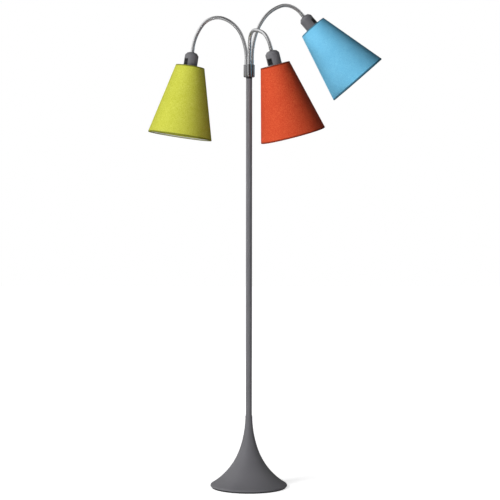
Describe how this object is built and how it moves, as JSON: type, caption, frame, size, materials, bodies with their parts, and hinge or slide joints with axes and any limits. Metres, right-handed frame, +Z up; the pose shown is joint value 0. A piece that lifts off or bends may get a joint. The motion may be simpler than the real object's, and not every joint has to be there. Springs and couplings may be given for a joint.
{
  "type": "tree floor lamp",
  "caption": "Slim floor lamp on a spun trumpet foot, with bendable goosenecks that each carry a lampholder with a rocker switch and a conical fabric shade in its own colour.",
  "frame": {"origin": "on the floor, under the middle of the pole and foot", "axes": "+Z up along the pole, -Y towards the viewer of the picture, +X to that viewer's right"},
  "size_m": [0.7379, 0.4133, 1.5212],
  "materials": {
    "lamp_grey": "satin",
    "ballast_iron": "matte",
    "zinc_plate": "satin",
    "black_rubber": "matte",
    "black_plastic": "satin",
    "switch_black": "gloss",
    "socket_black": "matte",
    "cable_sheath": "satin",
    "chrome": "polished",
    "brass_contact": "satin",
    "white_wire": "satin",
    "frosted_glass": "satin",
    "lime_fabric": "matte",
    "orange_fabric": "matte",
    "blue_fabric": "matte"
  },
  "bodies": {
    "stand": {"base_shell": "lamp_grey", "base_weight": "ballast_iron", "base_plate": "zinc_plate", "foot_ring": "black_rubber", "cord_bushing": "black_plastic", "pole": "lamp_grey", "pole_plugs": "zinc_plate", "pole_nut": "zinc_plate", "pole_cable": "cable_sheath", "pole_collar": "black_plastic", "arm_holder": "chrome", "neck_flexes": "cable_sheath", "lime_root_ferrule": "chrome", "orange_root_ferrule": "chrome", "blue_root_ferrule": "chrome"},
    "lime_link_1": {"lime_neck_1": "chrome"},
    "lime_link_2": {"lime_neck_2": "chrome"},
    "lime_link_3": {"lime_neck_3": "chrome"},
    "lime_link_4": {"lime_neck_4": "chrome"},
    "lime_head": {"lime_tip_ferrule": "chrome", "lime_holder_cap": "lamp_grey", "lime_holder_body": "lamp_grey", "lime_switch_box": "black_plastic", "lime_socket": "socket_black", "lime_contacts": "brass_contact", "lime_shade_ring": "black_plastic", "lime_shade_frame": "white_wire", "lime_shade": "lime_fabric", "lime_bulb": "frosted_glass"},
    "lime_rocker": {"lime_switch_rocker": "switch_black"},
    "orange_link_1": {"orange_neck_1": "chrome"},
    "orange_link_2": {"orange_neck_2": "chrome"},
    "orange_link_3": {"orange_neck_3": "chrome"},
    "orange_link_4": {"orange_neck_4": "chrome"},
    "orange_head": {"orange_tip_ferrule": "chrome", "orange_holder_cap": "lamp_grey", "orange_holder_body": "lamp_grey", "orange_switch_box": "black_plastic", "orange_socket": "socket_black", "orange_contacts": "brass_contact", "orange_shade_ring": "black_plastic", "orange_shade_frame": "white_wire", "orange_shade": "orange_fabric", "orange_bulb": "frosted_glass"},
    "orange_rocker": {"orange_switch_rocker": "switch_black"},
    "blue_link_1": {"blue_neck_1": "chrome"},
    "blue_link_2": {"blue_neck_2": "chrome"},
    "blue_link_3": {"blue_neck_3": "chrome"},
    "blue_link_4": {"blue_neck_4": "chrome"},
    "blue_head": {"blue_tip_ferrule": "chrome", "blue_holder_cap": "lamp_grey", "blue_holder_body": "lamp_grey", "blue_switch_box": "black_plastic", "blue_socket": "socket_black", "blue_contacts": "brass_contact", "blue_shade_ring": "black_plastic", "blue_shade_frame": "white_wire", "blue_shade": "blue_fabric", "blue_bulb": "frosted_glass"},
    "blue_rocker": {"blue_switch_rocker": "switch_black"}
  },
  "joints": [
    {"name": "lime_bend_1_inplane", "type": "hinge", "parent": "stand", "child": "lime_link_1", "pos_m": [-0.00901, 0.0052, 1.3377], "axis": [-0.0698, -0.9976, 0], "range_deg": [-12, 22], "deforming": ["neck_flexes"]},
    {"name": "lime_bend_2_sideways", "type": "hinge", "parent": "lime_link_1", "child": "lime_link_2", "pos_m": [-0.02465, 0.00629, 1.4115], "axis": [-0.9113, 0.0637, -0.4067], "range_deg": [-22, 22], "deforming": ["neck_flexes"]},
    {"name": "lime_bend_3_inplane", "type": "hinge", "parent": "lime_link_2", "child": "lime_link_3", "pos_m": [-0.07851, 0.01006, 1.46211], "axis": [0.0698, 0.9976, 0], "range_deg": [-11, 28], "deforming": ["neck_flexes"]},
    {"name": "lime_bend_4_sideways", "type": "hinge", "parent": "lime_link_3", "child": "lime_link_4", "pos_m": [-0.14643, 0.01481, 1.4422], "axis": [0.7956, -0.0556, -0.6032], "range_deg": [-25, 25], "deforming": ["neck_flexes"]},
    {"name": "lime_bend_5_inplane", "type": "hinge", "parent": "lime_link_4", "child": "lime_head", "pos_m": [-0.17551, 0.01684, 1.37286], "axis": [-0.0698, -0.9976, 0], "range_deg": [-28, 14], "deforming": ["neck_flexes"]},
    {"name": "lime_switch", "type": "hinge", "parent": "lime_head", "child": "lime_rocker", "pos_m": [-0.19339, 0.00728, 1.32851], "axis": [0.6607, -0.7431, -0.1062], "range_deg": [0, 14]},
    {"name": "orange_bend_1_inplane", "type": "hinge", "parent": "stand", "child": "orange_link_1", "pos_m": [0, -0.0104, 1.3377], "axis": [0.993, 0.1184, 0], "range_deg": [-12, 22], "deforming": ["neck_flexes"]},
    {"name": "orange_bend_2_sideways", "type": "hinge", "parent": "orange_link_1", "child": "orange_link_2", "pos_m": [0.0017, -0.02465, 1.3909], "axis": [0.4263, -0.7701, -0.4745], "range_deg": [-22, 22], "deforming": ["neck_flexes"]},
    {"name": "orange_bend_3_inplane", "type": "hinge", "parent": "orange_link_2", "child": "orange_link_3", "pos_m": [0.01645, -0.06875, 1.41593], "axis": [-0.8878, -0.3839, -0.2539], "range_deg": [-9, 28], "deforming": ["neck_flexes"]},
    {"name": "orange_bend_4_sideways", "type": "hinge", "parent": "orange_link_3", "child": "orange_link_4", "pos_m": [0.04093, -0.11681, 1.40301], "axis": [0.0759, 0.4764, -0.8759], "range_deg": [-25, 25], "deforming": ["neck_flexes"]},
    {"name": "orange_bend_5_inplane", "type": "hinge", "parent": "orange_link_4", "child": "orange_head", "pos_m": [0.06327, -0.13817, 1.36036], "axis": [0.886, 0.3707, 0.2784], "range_deg": [-28, 9], "deforming": ["neck_flexes"]},
    {"name": "orange_switch", "type": "hinge", "parent": "orange_head", "child": "orange_rocker", "pos_m": [0.06578, -0.14389, 1.312], "axis": [0.7498, -0.6514, 0.116], "range_deg": [0, 14]},
    {"name": "blue_bend_1_inplane", "type": "hinge", "parent": "stand", "child": "blue_link_1", "pos_m": [0.00901, 0.0052, 1.3377], "axis": [-0.7022, 0.712, 0], "range_deg": [-12, 22], "deforming": ["neck_flexes"]},
    {"name": "blue_bend_2_sideways", "type": "hinge", "parent": "blue_link_1", "child": "blue_link_2", "pos_m": [0.01945, 0.0155, 1.41075], "axis": [0.7321, 0.563, -0.3834], "range_deg": [-22, 22], "deforming": ["neck_flexes"]},
    {"name": "blue_bend_3_inplane", "type": "hinge", "parent": "blue_link_2", "child": "blue_link_3", "pos_m": [0.05009, 0.04342, 1.47268], "axis": [0.4869, -0.8519, 0.1928], "range_deg": [-25, 28], "deforming": ["neck_flexes"]},
    {"name": "blue_bend_4_sideways", "type": "hinge", "parent": "blue_link_3", "child": "blue_link_4", "pos_m": [0.10042, 0.08115, 1.51228], "axis": [0.4578, -0.1351, -0.8788], "range_deg": [-25, 25], "deforming": ["neck_flexes"]},
    {"name": "blue_bend_5_inplane", "type": "hinge", "parent": "blue_link_4", "child": "blue_head", "pos_m": [0.16351, 0.10464, 1.49358], "axis": [-0.4157, 0.8412, -0.3458], "range_deg": [-28, 25], "deforming": ["neck_flexes"]},
    {"name": "blue_switch", "type": "hinge", "parent": "blue_head", "child": "blue_rocker", "pos_m": [0.20252, 0.09538, 1.46582], "axis": [0.4898, 0.7546, 0.4366], "range_deg": [0, 14]}
  ]
}
